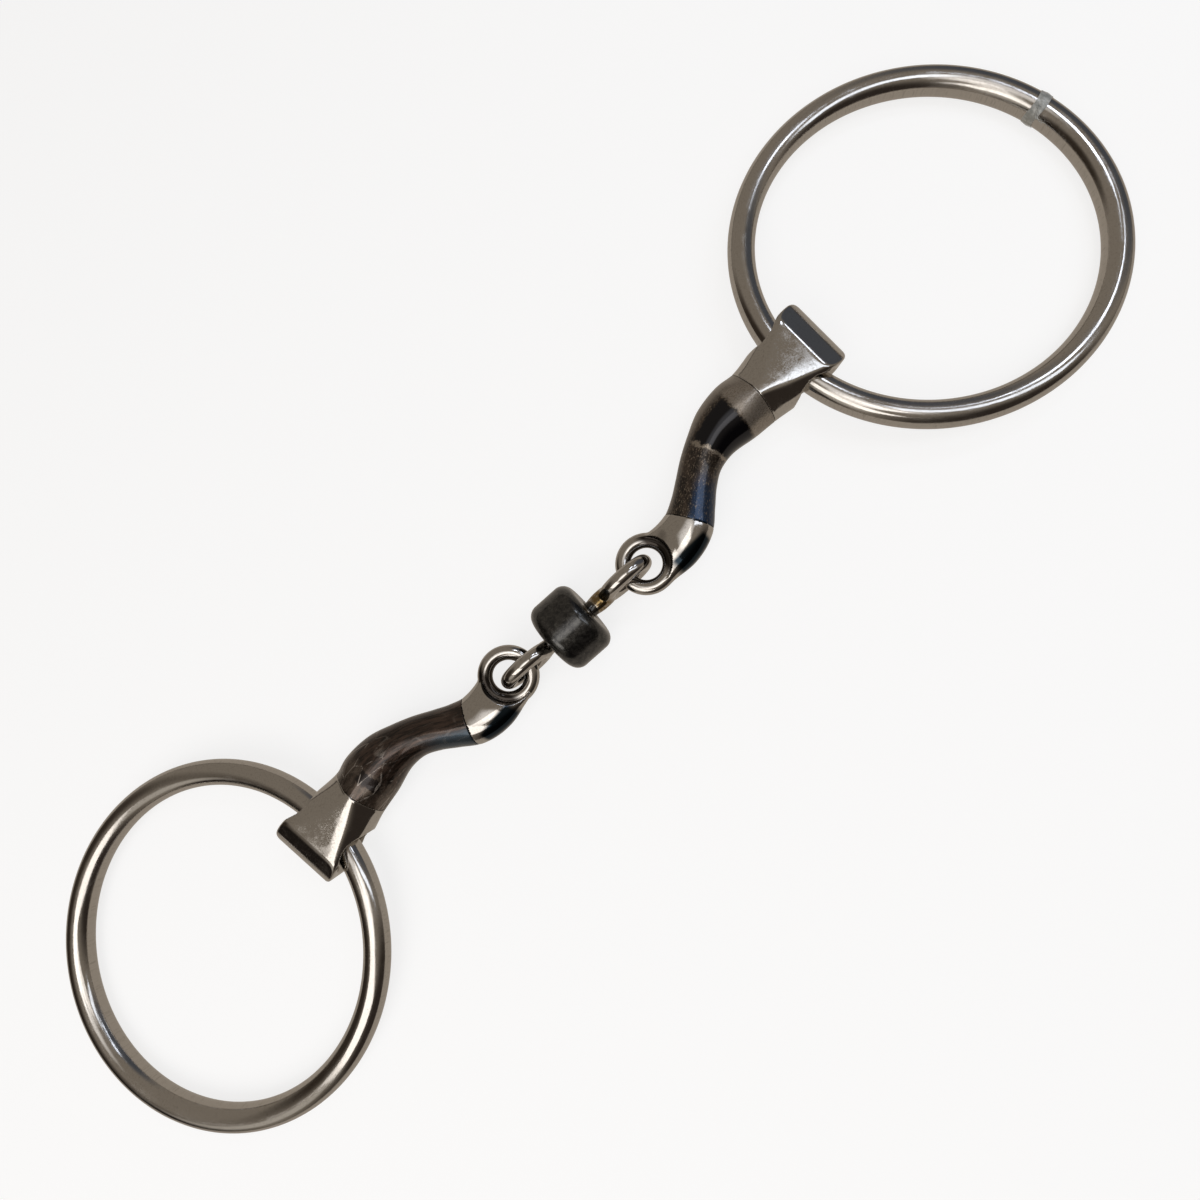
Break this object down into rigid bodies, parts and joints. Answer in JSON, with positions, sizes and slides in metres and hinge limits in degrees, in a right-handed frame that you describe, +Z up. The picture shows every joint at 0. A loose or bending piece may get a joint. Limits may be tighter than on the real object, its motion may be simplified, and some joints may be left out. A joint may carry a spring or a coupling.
{
  "type": "loose ring snaffle bit",
  "caption": "Loose-ring snaffle bit: round wire rings in a mouthpiece of curved bars with dark iron sleeves, joined by a wire centre link that carries a turning roller.",
  "frame": {"origin": "on the table under the middle of the bit, at the centre of its footprint", "axes": "+X along the mouth from the left ring to the right ring, +Z up from the table, +Y across the bit"},
  "size_m": [0.2749, 0.0754, 0.0152],
  "materials": {
    "ring_steel": "satin polished stainless wire",
    "bar_steel": "polished stainless forging with fine rub marks",
    "link_steel": "bright polished wire with a browned weld",
    "dark_iron": "blued and browned sweet iron, waxy and mottled",
    "roller_iron": "dark satin iron",
    "clear_film": "thin clear plastic film"
  },
  "bodies": {
    "link": {"centre_link": "link_steel"},
    "roller": {"roller": "roller_iron"},
    "left_bar": {"left_bar": "bar_steel", "left_sleeve": "dark_iron"},
    "right_bar": {"right_bar": "bar_steel", "right_sleeve": "dark_iron"},
    "left_ring": {"left_ring": "ring_steel"},
    "right_ring": {"right_ring": "ring_steel"}
  },
  "joints": [
    {"name": "left_bar_fold", "type": "hinge", "parent": "link", "child": "left_bar", "pos_m": [-0.01713, -0.00328, 0.0074], "axis": [0.0309, -0.257, 0.9659], "range_deg": [-110, 80]},
    {"name": "right_bar_fold", "type": "hinge", "parent": "link", "child": "right_bar", "pos_m": [0.01774, -0.00684, 0.0074], "axis": [0, 0, 1], "range_deg": [-80, 110]},
    {"name": "left_ring_swing", "type": "hinge", "parent": "left_bar", "child": "left_ring", "pos_m": [-0.0649, 0.00035, 0.00661], "axis": [-0.01, 1, -0.0006], "range_deg": [-150, 150]},
    {"name": "right_ring_swing", "type": "hinge", "parent": "right_bar", "child": "right_ring", "pos_m": [0.06494, 0.0016, 0.0077], "axis": [0.0456, 0.999, -0.0033], "range_deg": [-150, 150]},
    {"name": "roller_spin", "type": "hinge", "parent": "link", "child": "roller", "pos_m": [-0.00145, -0.00517, 0.0076], "axis": [0.9983, -0.0576, 0], "continuous": true}
  ]
}
